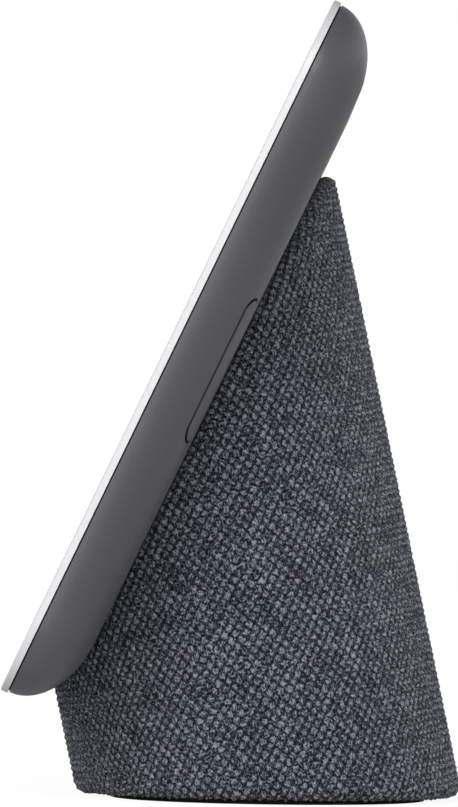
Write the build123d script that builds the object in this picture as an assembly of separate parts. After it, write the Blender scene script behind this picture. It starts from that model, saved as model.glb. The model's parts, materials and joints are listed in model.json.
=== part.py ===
from build123d import *
import os
from math import ceil, copysign, cos, radians, sin, sqrt, tan

# Tabletop smart display with a speaker stand.
# A flat touch display leans back on a fabric-covered stand that holds the loudspeaker.
# Millimetres and degrees. +Z is up, the screen faces -Y, and the origin lies on the
# table, under the middle of the object's overall width and depth.

# Stance
overall_depth = 69.5
chin_height = 17.4
display_tilt = 25.0

# Display head outline
display_width = 177.4
display_height = 113.6
display_depth = 9.5
display_corner = 11.5
back_corner = 4.0
edge_run = 11.8
edge_steps = 9
housing_wall = 1.6
housing_reveal = 0.25

# Cover glass and its seal
glass_thickness = 1.1
glass_edge_round = 0.25
gasket_thickness = 0.25
gasket_width = 1.3
gasket_inset = 0.5
pinhole_radius = 0.5

# Screen module
lcd_side_margin = 7.2
lcd_end_margin = 8.8
lcd_thickness = 1.3
backlight_thickness = 1.6
light_guide_ease = 0.1
tray_lip = 1.2
flex_width = 26.0
flex_thickness = 0.16
flex_reach = 2.2
flex_radius = 0.6
flex_overlap = 4.0

# Chassis plate, main board and what sits on it
chassis_gap = 0.05
chassis_thickness = 0.6
chassis_margin = 2.2
chassis_boss_radius = 3.0
chassis_screw_gap = 0.2
chassis_screw_spacing = 76.0
board_standoff = 0.55
board_width = 104.0
board_height = 52.0
board_thickness = 1.0
board_screw_margin = 4.0
standoff_radius = 2.6
shield_width = 17.0
shield_height = 34.0
shield_spacing = 76.0
shield_wall = 0.3
thermal_pad_thickness = 0.5
thermal_pad_margin = 1.5
processor_side = 12.0
radio_side = 9.0
chip_fill = 0.8
connector_width = 4.6
connector_height = 5.4
connector_rise = 1.1
antenna_width = 30.0
antenna_height = 9.0
antenna_thickness = 0.2
antenna_spacing = 118.0
antenna_y = 30.0

# Sensor strip above the screen
sensor_strip_gap = 0.8
sensor_strip_width = 84.0
sensor_strip_height = 3.6
sensor_strip_thickness = 0.6
sensor_rise = 1.0
sensor_side = 2.2
sensor_window_radius = 1.3
microphone_spacing = 70.0
microphone_width = 3.4
microphone_height = 2.6
boot_thickness = 0.5
boot_radius = 1.25
sensor_rest_width = 6.0
sensor_rest_spacing = 44.0

# Volume rocker
rocker_turn = 68.0
rocker_length = 23.0
rocker_width = 4.2
rocker_proud = 0.12
rocker_gap = 0.45
rocker_lip = 1.1
rocker_headroom = 1.0
rocker_flange = 0.5
rocker_pin_radius = 0.4
rocker_pin_clearance = 0.05
rocker_lug = 3.0
rocker_lug_wall = 0.2
rocker_seat_ease = 0.02
plunger_reach = 8.0
plunger_radius = 1.1
plunger_drop = 0.25
ear_thickness = 1.3
ear_clearance = 0.3
dome_radius = 1.9
dome_rise = 0.35
dome_gap = 0.04
switch_board_thickness = 0.6
switch_board_width = 4.4
switch_post = 3.0
switch_post_gap = 0.6
switch_post_inset = 0.5
stake_radius = 0.6
stake_clearance = 0.05

# Microphone switch
slider_drop = 13.6
slider_travel = 2.4
slider_length = 4.6
slider_width = 2.8
slider_recess = 0.25
slider_clearance = 0.2
slider_flange = 0.6
slider_pocket_depth = 0.7
slider_pocket_margin = 1.2
slider_ridges = 3
slider_ridge_depth = 0.25
slider_ridge_width = 0.45
lever_width = 1.2
lever_height = 1.4
lever_rise = 0.7
lever_clearance = 0.05
mute_switch_length = 8.6
mute_switch_width = 3.2
mute_board_thickness = 0.6
mute_board_length = 19.0
mute_board_width = 5.0
mute_post_radius = 1.5
mute_board_gap = 0.35

# Stand
base_width = 105.0
base_depth = 59.3
base_end = 35.5
base_lean = 12.5
base_edge_round = 1.9
rim_gap = 0.4
rim_round = 0.9
fabric_thickness = 1.0
fabric_ease = 0.15
fabric_lift = 0.5
hem_width = 5.2
stand_wall = 2.0
stand_inner_round = 0.8

# Neck between display and stand
neck_drop = 8.0
neck_width = 66.0
neck_height = 34.0
neck_screw_spacing_x = 48.0
neck_screw_spacing_y = 20.0
neck_ease = 0.3
cable_slot_width = 15.0
cable_slot_height = 7.0
grommet_bore_width = 9.4
grommet_bore_height = 3.4
grommet_flange = 1.4
grommet_flange_thickness = 0.8
grommet_ease = 0.1

# Loudspeaker, measured inwards from the fabric along its own axis
speaker_setback = 7.6
speaker_radius = 25.0
speaker_ring_inner = 21.4
speaker_ring_margin = 0.5
speaker_gasket_thickness = 0.8
basket_flange = 1.2
basket_wall = 1.0
basket_drop = 9.0
basket_foot_radius = 14.0
basket_windows = 4
basket_window_angle = 52.0
basket_window_share = 0.6
basket_bore_gap = 2.0
surround_width = 3.6
surround_thickness = 0.5
cone_thickness = 0.5
cone_drop = 4.6
cone_recess = 0.3
coil_radius = 6.9
coil_thickness = 0.6
coil_length = 10.0
magnet_radius = 14.0
magnet_thickness = 7.5
magnet_gap = 0.7
yoke_thickness = 2.0
yoke_inset = 1.0
spider_thickness = 0.4
spider_waves = 3
spider_wave_height = 0.5
spider_drop = 1.6
speaker_screw_count = 4
glue_gap = 0.05
dust_cap_rise = 2.2
grille_hole_radius = 1.2
grille_pitch = 4.0
grille_radius = 18.0
grille_turn = 17.0

# Power inlet, measured inwards from the fabric along its own axis
inlet_x = -33.0
inlet_height = 17.0
inlet_recess_radius = 4.5
inlet_recess_depth = 5.0
inlet_collar_radius = 6.2
inlet_flange_radius = 7.6
inlet_flange_thickness = 1.2
inlet_body_radius = 5.6
inlet_barrel_radius = 2.85
inlet_barrel_depth = 9.0
inlet_back_wall = 1.4
inlet_pin_radius = 1.0
inlet_pin_recess = 0.8
inlet_ease = 0.15
inlet_flange_seat = 0.85
inlet_overlap = 1.0
inlet_board_width = 25.4
inlet_board_height = 13.0
inlet_board_thickness = 1.2
inlet_post_radius = 2.2
inlet_post_spacing = 20.4

# Floor of the stand
plate_ease = 0.2
plate_thickness = 2.0
foot_inset = 5.6
foot_edge_round = 0.35
base_boss_radius = 3.2
base_boss_height = 8.0
base_boss_angle = 20.0
base_boss_inset = 4.0

# Screws: head radius, head height, shank radius, and clearance in their holes
small_head_radius = 1.4
small_head_height = 0.8
small_shank_radius = 0.7
medium_head_radius = 2.1
medium_head_height = 1.2
medium_shank_radius = 1.1
large_head_radius = 2.6
large_head_height = 1.8
large_shank_radius = 1.4
screw_clearance = 0.08
screw_bite = 2.0
screw_sink = 0.1

# Leads inside
lead_radius = 1.1
lead_spacing = 5.2
lead_bend = 5.0
lead_clearance = 1.5
lead_straight = 8.0

# Derived places
tilt = radians(display_tilt)
lean = radians(base_lean)
housing_front = glass_thickness + gasket_thickness
edge_depth = display_depth - housing_front
housing_width = display_width - 2 * housing_reveal
housing_height = display_height - 2 * housing_reveal
wall_inner = display_depth - housing_wall
lcd_width = display_width - 2 * lcd_side_margin
lcd_height = display_height - 2 * lcd_end_margin
lcd_back = glass_thickness + lcd_thickness
backlight_back = lcd_back + backlight_thickness
chassis_front = backlight_back + chassis_gap
chassis_back = chassis_front + chassis_thickness
board_front = chassis_back + board_standoff
board_back = board_front + board_thickness
shield_back = wall_inner - thermal_pad_thickness
neck_y = -neck_drop
stand_skin = fabric_thickness + fabric_ease
deck_front = display_depth + rim_gap + stand_skin
deck_back = deck_front + stand_wall
heel_y = overall_depth / 2 + base_edge_round * ((1 + sin(lean)) / cos(lean) - 1)
base_centre_y = heel_y - base_depth / 2 + fabric_lift * tan(lean)
plate_low = fabric_lift + stand_skin
plate_high = plate_low + plate_thickness
column_height = chin_height + display_height
base_straight = base_width / 2 - base_end

display_up = Vector(0, sin(tilt), cos(tilt))
stand_up = Vector(0, -sin(lean), cos(lean))
face_centre = Vector(0, -overall_depth / 2, chin_height) + display_up * (display_height / 2)
face = Plane(origin=face_centre, x_dir=(1, 0, 0), z_dir=(0, -cos(tilt), sin(tilt)))

rocker_angle = radians(rocker_turn)
rocker_normal = Vector(cos(rocker_angle) / edge_run, 0, -sin(rocker_angle) / edge_depth).normalized()
rocker_point = Vector(
    housing_width / 2 - edge_run * (1 - cos(rocker_angle)),
    0,
    -housing_front - edge_depth * sin(rocker_angle),
)
rocker_plane = Plane(origin=rocker_point, x_dir=(0, 1, 0), z_dir=rocker_normal)
flange_front = housing_wall + rocker_headroom
flange_back = flange_front + rocker_flange
rocker_pin_depth = flange_front + rocker_flange / 2
plunger_end = flange_back + plunger_drop
dome_top = plunger_end + dome_gap
switch_board_top = dome_top + dome_rise
switch_post_x = rocker_length / 2 + rocker_lip + ear_clearance + switch_post_gap + switch_post / 2
slider_y = display_height / 2 - slider_drop
slider_flange_back = wall_inner - slider_clearance
slider_flange_front = slider_flange_back - slider_flange
lever_top = slider_flange_back - lever_clearance
mute_switch_top = slider_flange_front - slider_clearance
mute_board_back = chassis_back + mute_board_gap + mute_board_thickness
sensor_y = lcd_height / 2 + sensor_strip_gap + sensor_strip_height / 2
sensor_strip_front = glass_thickness + boot_thickness + sensor_rise
sensor_strip_back = sensor_strip_front + sensor_strip_thickness


# Section of the stand at a height: the stand leans forward, so its centre moves
def stand_centre(height):
    return base_centre_y - height * tan(lean)


def past_straight(x):
    return copysign(max(abs(x) - base_straight, 0), x)


def stand_wall_point(x, height):
    half_depth = base_depth / 2 * sqrt(1 - (past_straight(x) / base_end) ** 2)
    return Vector(x, stand_centre(height) + half_depth, height)


def stand_wall_normal(x, height):
    offset = stand_wall_point(x, height).Y - stand_centre(height)
    across = past_straight(x) / base_end**2
    back = offset / (base_depth / 2) ** 2
    return Vector(across, back, back * tan(lean)).normalized()


# The loudspeaker sits midway between two heights: at the lower one its mounting ring touches
# the floor plate, at the upper one its yoke touches the deck under the display.
speaker_front = speaker_setback + speaker_gasket_thickness
basket_back = speaker_front + basket_flange + basket_drop
magnet_back = basket_back + magnet_thickness
yoke_back = magnet_back + yoke_thickness
yoke_radius = magnet_radius - yoke_inset
ring_radius = speaker_radius + speaker_ring_margin
ring_on_plate = plate_high + ring_radius * cos(lean) + speaker_setback * sin(lean)
deck_normal = -face.z_dir
yoke_rim = stand_up * yoke_radius - stand_wall_normal(0, 0) * yoke_back
deck_room = (stand_wall_point(0, 0) + yoke_rim - face_centre).dot(deck_normal) - deck_back
yoke_on_deck = deck_room * cos(lean) / sin(tilt + lean)
speaker_height = (ring_on_plate + yoke_on_deck) / 2
speaker_plane = Plane(
    origin=stand_wall_point(0, speaker_height),
    x_dir=(1, 0, 0),
    z_dir=stand_wall_normal(0, speaker_height),
)
inlet_normal = stand_wall_normal(inlet_x, inlet_height)
inlet_plane = Plane(
    origin=stand_wall_point(inlet_x, inlet_height),
    x_dir=Vector(0, 0, 1).cross(inlet_normal),
    z_dir=inlet_normal,
)
inlet_back = inlet_recess_depth + inlet_barrel_depth + inlet_back_wall
inlet_flange_front = stand_skin + stand_wall + inlet_flange_seat
cone_edge = speaker_ring_inner - basket_wall - surround_width
cone_front = speaker_front + cone_recess
cone_back = cone_front + cone_drop


# Helpers that work in a piece's own frame, with depths counted inwards from z = 0
def on(plane, shape):
    return plane.location * shape


def layer(outline, front, back, x=0.0, y=0.0):
    return extrude(Pos(x, y, -back) * outline, amount=back - front)


def rod(radius, front, back, x=0.0, y=0.0):
    return layer(Circle(radius), front, back, x, y)


def tube(outer, inner, front, back, x=0.0, y=0.0):
    return layer(Circle(outer) - Circle(inner), front, back, x, y)


def turned(points):
    """Solid of revolution about the piece's own z axis, from (radius, depth) points."""
    outline = make_face(Polyline(*[(r, 0, -d) for r, d in points], close=True))
    return revolve(outline, axis=Axis.Z)


def joined(shapes):
    shapes = list(shapes)
    return shapes[0] + shapes[1:] if len(shapes) > 1 else shapes[0]


def corners(spacing_x, spacing_y, x=0.0, y=0.0):
    return [
        (x + sx * spacing_x / 2, y + sy * spacing_y / 2) for sx in (-1, 1) for sy in (-1, 1)
    ]


def around(count, radius, start=0.0):
    turns = [radians(start + 360 * n / count) for n in range(count)]
    return [(radius * cos(t), radius * sin(t)) for t in turns]


def screw_in(head_radius, head_height, shank_radius, seat, tip, x, y):
    """Pan-head screw driven towards smaller depth: its head lies behind the seat."""
    return rod(head_radius, seat, seat + head_height, x, y) + rod(shank_radius, tip, seat, x, y)


# Display head
def housing_form(wall):
    """Closed form of the rear housing: an outline that rolls over a quarter ellipse to a flat back."""
    sections = []
    front_corner = display_corner - housing_reveal - wall
    for step in range(edge_steps + 1):
        turn = radians(90 * step / edge_steps)
        inset = wall + (edge_run - wall) * (1 - cos(turn))
        depth = housing_front + (edge_depth - wall) * sin(turn)
        corner = back_corner + (front_corner - back_corner) * cos(turn)
        outline = RectangleRounded(housing_width - 2 * inset, housing_height - 2 * inset, corner)
        sections.append(Pos(0, 0, -depth) * outline)
    return loft(sections)


def edge_roll(offset, length):
    """The right-hand rolled edge as a long elliptical bar, grown by an offset."""
    centre = Pos(housing_width / 2 - edge_run, -housing_front)
    bar = Plane.XZ * centre * Ellipse(edge_run + offset, edge_depth + offset)
    return extrude(bar, amount=length / 2, both=True)


def chassis_screw_places():
    side = lcd_width / 2 + small_head_radius + chassis_screw_gap
    return corners(2 * side, chassis_screw_spacing) + [(-side, 0)]


def neck_screw_places():
    return corners(neck_screw_spacing_x, neck_screw_spacing_y, 0, neck_y)


def board_screw_places():
    across = board_width - 2 * board_screw_margin
    up = board_height - 2 * board_screw_margin
    return corners(across, up, 0, neck_y)


def cover_glass():
    outline = RectangleRounded(display_width, display_height, display_corner)
    glass = layer(outline, 0, glass_thickness)
    front = glass.faces().sort_by(Axis.Z)[-1]
    glass = fillet(front.edges(), glass_edge_round)
    for x in (-microphone_spacing / 2, microphone_spacing / 2):
        glass -= rod(pinhole_radius, -1, glass_thickness + 1, x, sensor_y)
    return glass


def display_gasket():
    width = display_width - 2 * gasket_inset
    height = display_height - 2 * gasket_inset
    outer = RectangleRounded(width, height, display_corner - gasket_inset)
    inner_corner = display_corner - gasket_inset - gasket_width
    inner = RectangleRounded(width - 2 * gasket_width, height - 2 * gasket_width, inner_corner)
    return layer(outer - inner, glass_thickness, housing_front)


def rocker_slot(margin, front, back):
    outline = SlotOverall(rocker_length + 2 * margin, rocker_width + 2 * margin)
    return on(rocker_plane, layer(outline, front, back))


def switch_post_blocks():
    outline = Rectangle(switch_post, switch_board_width - 2 * switch_post_inset)
    posts = [
        layer(outline, 0, switch_board_top, x, 0)
        + rod(stake_radius, 0, switch_board_top + switch_board_thickness, x, 0)
        for x in (-switch_post_x, switch_post_x)
    ]
    return on(rocker_plane, joined(posts))


def rocker_ear_blocks():
    inner = rocker_width / 2 + rocker_lip + ear_clearance
    outline = Rectangle(rocker_lug + 2 * rocker_pin_radius, ear_thickness)
    depth = rocker_pin_depth + 2.5 * rocker_pin_radius
    ears = [layer(outline, 0, depth, 0, s * (inner + ear_thickness / 2)) for s in (-1, 1)]
    return on(rocker_plane, joined(ears))


def rocker_pin_bar(radius):
    half = rocker_width / 2 + rocker_lip + ear_clearance + ear_thickness
    bar = Cylinder(radius, 2 * half, rotation=(90, 0, 0))
    return on(rocker_plane, Pos(0, 0, -rocker_pin_depth) * bar)


def slider_slot_size():
    length = slider_length + slider_travel + 2 * slider_clearance
    return length, slider_width + 2 * slider_clearance


def mute_board_places():
    reach = mute_board_length / 2 - mute_post_radius
    return [(-reach, slider_y), (reach, slider_y)]


def rear_housing():
    outer = housing_form(0)
    mouth = RectangleRounded(
        housing_width - 2 * housing_wall,
        housing_height - 2 * housing_wall,
        display_corner - housing_reveal - housing_wall,
    )
    shell = outer - housing_form(housing_wall) - layer(mouth, 0, housing_front)

    bosses = [
        rod(chassis_boss_radius, chassis_back, wall_inner, *p) & outer for p in chassis_screw_places()
    ]
    bosses += [
        rod(mute_post_radius, mute_board_back, wall_inner + housing_wall / 4, *p)
        + rod(stake_radius, mute_board_back - mute_board_thickness, mute_board_back, *p)
        for p in mute_board_places()
    ]
    shell += bosses
    shell += (switch_post_blocks() + rocker_ear_blocks()) & outer

    slot_length, slot_width = slider_slot_size()
    margin = slider_pocket_margin
    pocket = SlotOverall(slot_length + 2 * margin, slot_width + 2 * margin)
    shell -= layer(pocket, display_depth - slider_pocket_depth, display_depth + 1, 0, slider_y)
    slot = SlotOverall(slot_length, slot_width)
    shell -= layer(slot, wall_inner - 1, display_depth + 1, 0, slider_y)
    shell -= rocker_slot(rocker_gap, -2, housing_wall + rocker_headroom / 2)
    shell -= rocker_pin_bar(rocker_pin_radius + rocker_seat_ease)
    for place in chassis_screw_places():
        shell -= rod(small_shank_radius + screw_clearance, chassis_back, chassis_back + screw_bite, *place)
    for place in neck_screw_places():
        shell -= rod(large_shank_radius + screw_clearance, wall_inner - 1, display_depth + 1, *place)
    cable_slot = SlotOverall(cable_slot_width, cable_slot_height)
    shell -= layer(cable_slot, wall_inner - 1, display_depth + 1, 0, neck_y)
    return shell


def lcd_panel():
    return layer(Rectangle(lcd_width, lcd_height), glass_thickness, lcd_back)


def backlight_tray():
    tray = layer(Rectangle(lcd_width, lcd_height), lcd_back, backlight_back)
    well = Rectangle(lcd_width - 2 * tray_lip, lcd_height - 2 * tray_lip)
    return tray - layer(well, lcd_back, backlight_back - chassis_thickness)


def light_guide():
    margin = tray_lip + light_guide_ease
    sheet = Rectangle(lcd_width - 2 * margin, lcd_height - 2 * margin)
    return layer(sheet, lcd_back, backlight_back - chassis_thickness)


def lcd_flex():
    """Ribbon from the screen's lower edge, round the chassis plate, to the main board."""
    top = -lcd_height / 2
    fold = top - flex_reach
    start = lcd_back - lcd_thickness / 2
    finish = board_front - flex_thickness / 2
    end = neck_y - board_height / 2 + flex_overlap
    route = FilletPolyline((start, top), (start, fold), (finish, fold), (finish, end), radius=flex_radius)
    band = trace(route, flex_thickness)
    side_view = Plane(origin=(0, 0, 0), x_dir=(0, 0, -1), z_dir=(1, 0, 0))
    return extrude(side_view * band, amount=flex_width / 2, both=True)


def chassis_plate():
    sheet = RectangleRounded(
        housing_width - 2 * (housing_wall + chassis_margin),
        housing_height - 2 * (housing_wall + chassis_margin),
        display_corner - housing_wall - chassis_margin,
    )
    plate = layer(sheet, chassis_front, chassis_back)
    plate += [rod(standoff_radius, chassis_back, board_front, *p) for p in board_screw_places()]
    plate += [rod(chassis_boss_radius, chassis_back, wall_inner, *p) for p in neck_screw_places()]
    rest = Rectangle(sensor_rest_width, sensor_strip_height)
    for x in (-sensor_rest_spacing / 2, sensor_rest_spacing / 2):
        plate += layer(rest, sensor_strip_back, chassis_front, x, sensor_y)
    notch_depth = 2 * rocker_width + chassis_margin
    notch = Rectangle(2 * notch_depth, 2 * switch_post_x + 3 * switch_post)
    plate -= layer(notch, 0, display_depth, housing_width / 2 - housing_wall, 0)
    flex_notch = Rectangle(flex_width + 2, 2 * (flex_reach + 2))
    plate -= layer(flex_notch, 0, chassis_back, 0, -lcd_height / 2 - flex_reach)
    for place in chassis_screw_places():
        plate -= rod(small_shank_radius + screw_clearance, 0, display_depth, *place)
    for place in board_screw_places():
        plate -= rod(small_shank_radius + screw_clearance, 0, display_depth, *place)
    for place in neck_screw_places():
        plate -= rod(large_shank_radius + screw_clearance, chassis_back, display_depth, *place)
    return plate


def main_board():
    board = layer(Rectangle(board_width, board_height), board_front, board_back, 0, neck_y)
    for place in board_screw_places():
        board -= rod(small_shank_radius + screw_clearance, 0, display_depth, *place)
    for place in neck_screw_places():
        board -= rod(chassis_boss_radius + screw_clearance, 0, display_depth, *place)
    return board


def shield_cans():
    cans = []
    for x in (-shield_spacing / 2, shield_spacing / 2):
        can = layer(Rectangle(shield_width, shield_height), board_back, shield_back, x, neck_y)
        hollow = Rectangle(shield_width - 2 * shield_wall, shield_height - 2 * shield_wall)
        cans.append(can - layer(hollow, board_back, shield_back - shield_wall, x, neck_y))
    return cans


def chips():
    """Processor and radio under the two shield cans."""
    found = []
    height = (shield_back - shield_wall - board_back) * chip_fill
    for x, side in ((-shield_spacing / 2, processor_side), (shield_spacing / 2, radio_side)):
        found.append(layer(Rectangle(side, side), board_back, board_back + height, x, neck_y))
    return found


def thermal_pads():
    pad = Rectangle(shield_width - 2 * thermal_pad_margin, shield_height - 2 * thermal_pad_margin)
    return [
        layer(pad, shield_back, wall_inner, x, neck_y)
        for x in (-shield_spacing / 2, shield_spacing / 2)
    ]


def board_connectors():
    block = Rectangle(connector_width, connector_height)
    return [
        layer(block, board_back, board_back + connector_rise, x, neck_y)
        for x in (-lead_spacing / 2, lead_spacing / 2)
    ]


def wifi_antennas():
    strip = Rectangle(antenna_width, antenna_height)
    return [
        layer(strip, wall_inner - antenna_thickness, wall_inner, x, antenna_y)
        for x in (-antenna_spacing / 2, antenna_spacing / 2)
    ]


def sensor_strip():
    outline = Rectangle(sensor_strip_width, sensor_strip_height)
    return layer(outline, sensor_strip_front, sensor_strip_back, 0, sensor_y)


def light_sensor():
    top = sensor_strip_front - sensor_rise
    chip = layer(Rectangle(sensor_side, sensor_side), top, sensor_strip_front, 0, sensor_y)
    window = rod(sensor_window_radius, glass_thickness, top, 0, sensor_y)
    return chip + window


def microphones():
    body = Rectangle(microphone_width, microphone_height)
    return [
        layer(body, sensor_strip_front - sensor_rise, sensor_strip_front, x, sensor_y)
        for x in (-microphone_spacing / 2, microphone_spacing / 2)
    ]


def microphone_boots():
    return [
        tube(boot_radius, pinhole_radius, glass_thickness, sensor_strip_front - sensor_rise, x, sensor_y)
        for x in (-microphone_spacing / 2, microphone_spacing / 2)
    ]


# Volume rocker
def volume_rocker():
    bar = layer(SlotOverall(rocker_length, rocker_width), -2, flange_back)
    cap = on(rocker_plane, bar) & edge_roll(rocker_proud, 2 * rocker_length)
    flange = SlotOverall(rocker_length + 2 * rocker_lip, rocker_width + 2 * rocker_lip)
    under = layer(flange, flange_front, flange_back)
    lug_width = rocker_width + 2 * rocker_lip
    lug_end = rocker_pin_depth + rocker_pin_radius + rocker_pin_clearance + rocker_lug_wall
    under += layer(Rectangle(rocker_lug, lug_width), flange_front, lug_end)
    under += [rod(plunger_radius, flange_front, plunger_end, x, 0) for x in (-plunger_reach, plunger_reach)]
    return cap + on(rocker_plane, under) - rocker_pin_bar(rocker_pin_radius + rocker_pin_clearance)


def rocker_pin():
    return rocker_pin_bar(rocker_pin_radius)


def volume_domes():
    ball = (dome_radius**2 + dome_rise**2) / (2 * dome_rise)
    profile = make_face(
        [
            Line((0, -dome_top), (0, -switch_board_top)),
            Line((0, -switch_board_top), (dome_radius, -switch_board_top)),
            RadiusArc((dome_radius, -switch_board_top), (0, -dome_top), -ball),
        ]
    )
    cap = revolve(Plane.XZ * profile, axis=Axis.Z)
    return [on(rocker_plane, Pos(x, 0, 0) * cap) for x in (-plunger_reach, plunger_reach)]


def volume_switch_board():
    length = 2 * switch_post_x + switch_post
    board = layer(
        Rectangle(length, switch_board_width), switch_board_top, switch_board_top + switch_board_thickness
    )
    for x in (-switch_post_x, switch_post_x):
        board -= rod(stake_radius + stake_clearance, 0, display_depth, x, 0)
    return on(rocker_plane, board)


# Microphone switch
def mic_slider():
    rest_x = -slider_travel / 2
    top = display_depth - slider_recess
    knob = layer(SlotOverall(slider_length, slider_width), slider_flange_back, top, rest_x, slider_y)
    for n in range(slider_ridges):
        x = rest_x + (n - (slider_ridges - 1) / 2) * 2 * slider_ridge_width
        groove = Rectangle(slider_ridge_width, slider_width + 1)
        knob -= layer(groove, top - slider_ridge_depth, top + 1, x, slider_y)
    slot_length, slot_width = slider_slot_size()
    cover = Rectangle(slot_length + slider_travel + 2 * slider_clearance, slot_width + 4 * slider_clearance)
    knob += layer(cover, slider_flange_front, slider_flange_back, rest_x, slider_y)
    socket = Rectangle(lever_width + 2 * lever_clearance, lever_height + 2 * lever_clearance)
    return knob - layer(socket, slider_flange_front, lever_top - lever_clearance, rest_x, slider_y)


def mic_switch_lever():
    outline = Rectangle(lever_width, lever_height)
    front, back = mute_switch_top - lever_rise, lever_top - 2 * lever_clearance
    return layer(outline, front, back, -slider_travel / 2, slider_y)


def mic_switch():
    outline = Rectangle(mute_switch_length, mute_switch_width)
    body = layer(outline, mute_board_back, mute_switch_top, 0, slider_y)
    way = Rectangle(lever_width + slider_travel + 4 * lever_clearance, lever_height + 4 * lever_clearance)
    floor = mute_switch_top - lever_rise - 2 * lever_clearance
    return body - layer(way, floor, mute_switch_top, 0, slider_y)


def mic_switch_board():
    front = mute_board_back - mute_board_thickness
    board = layer(Rectangle(mute_board_length, mute_board_width), front, mute_board_back, 0, slider_y)
    for place in mute_board_places():
        board -= rod(stake_radius + stake_clearance, 0, display_depth, *place)
    return board


# Stand
def display_clearance(offset):
    """Everything in front of the display's back, grown by an offset: the stand is cut to this."""
    half = housing_height / 2
    run, depth = edge_run + offset, edge_depth + offset
    front = -housing_front
    far = 4 * column_height
    low = -half + edge_run
    outline = make_face(
        [
            Line((far, far), (front - depth, far)),
            Line((front - depth, far), (front - depth, low)),
            EllipticalCenterArc((front, low), depth, run, start_angle=180, arc_size=90),
            Line((front, low - run), (far, low - run)),
            Line((far, low - run), (far, far)),
        ]
    )
    side_view = Plane(origin=(0, 0, 0), x_dir=(0, 0, 1), z_dir=(-1, 0, 0))
    return on(face, extrude(side_view * outline, amount=base_width, both=True))


def stand_oval(inset):
    """The stand's outline from above, shrunk by an inset: elliptical ends and straight sides."""
    end, half_depth = base_end - inset, base_depth / 2 - inset
    return make_face(
        [
            EllipticalCenterArc((base_straight, 0), end, half_depth, start_angle=-90, arc_size=180),
            Line((base_straight, half_depth), (-base_straight, half_depth)),
            EllipticalCenterArc((-base_straight, 0), end, half_depth, start_angle=90, arc_size=180),
            Line((-base_straight, -half_depth), (base_straight, -half_depth)),
        ]
    )


def stand_form(inset, low):
    """Leaning oval column, shrunk by an inset, cut to the display's back."""
    foot = Pos(0, stand_centre(low), low) * stand_oval(inset)
    rise = (column_height - low) / cos(lean)
    column = extrude(foot, amount=rise, dir=stand_up)
    return column - display_clearance(rim_gap + inset)


def rounded_stand(inset, low, foot_round, top_round):
    form = stand_form(inset, low)
    bottom = form.faces().sort_by(Axis.Z)[0]
    form = fillet(bottom.edges(), foot_round)
    return fillet(rim_edges(form, low + 2 * foot_round), top_round) if top_round else form


def rim_edges(form, above):
    """Edges where the stand's leaning walls meet the cut along the display's back."""
    found = []
    for wall in form.faces():
        if abs(wall.normal_at().dot(stand_up)) < 0.01:
            found += [
                edge
                for edge in wall.edges()
                if edge.center().Z > above and abs(edge.tangent_at(0.5).dot(stand_up)) < 0.99
            ]
    return found


def neck_oval(ease):
    return SlotOverall(neck_width + 2 * ease, neck_height + 2 * ease)


def floor_oval(inset, low, high, slope=0.0):
    foot = Pos(0, stand_centre(plate_low), low) * stand_oval(inset)
    return extrude(foot, amount=(high - low) / cos(slope), dir=(0, -sin(slope), cos(slope)))


def fabric_cover():
    cover = rounded_stand(0, fabric_lift, base_edge_round, rim_round)
    inner_round = base_edge_round - fabric_thickness
    cover -= rounded_stand(fabric_thickness, fabric_lift + fabric_thickness, inner_round, 0)
    cover -= floor_oval(hem_width, 0, plate_high)
    cover -= on(face, layer(neck_oval(neck_ease), display_depth, deck_back, 0, neck_y))
    cover -= on(inlet_plane, rod(inlet_collar_radius + inlet_ease, -5, 2 * stand_wall))
    return cover


def base_boss_places():
    turn = radians(base_boss_angle)
    across = base_width / 2 - stand_skin - stand_wall - base_boss_inset
    along = base_depth / 2 - stand_skin - stand_wall - base_boss_inset
    centre = stand_centre(plate_low)
    return [
        (sx * across * cos(turn), centre + sy * along * sin(turn)) for sx in (-1, 1) for sy in (-1, 1)
    ]


def speaker_screw_places():
    return around(speaker_screw_count, (speaker_radius + speaker_ring_inner) / 2, 45)


def inlet_screw_places():
    return [(-inlet_post_spacing / 2, 0), (inlet_post_spacing / 2, 0)]


def grille_holes():
    rows = ceil(grille_radius / grille_pitch)
    step = grille_pitch * sqrt(3) / 2
    holes = []
    for row in range(-rows, rows + 1):
        for column in range(-rows, rows + 1):
            x = (column + (row % 2) / 2) * grille_pitch
            y = row * step
            if x * x + y * y < grille_radius**2:
                holes.append((x, y))
    outline = Sketch() + [Pos(x, y) * Circle(grille_hole_radius) for x, y in holes]
    return on(speaker_plane, layer(Rot(0, 0, grille_turn) * outline, -2, speaker_setback + 2))


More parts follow.
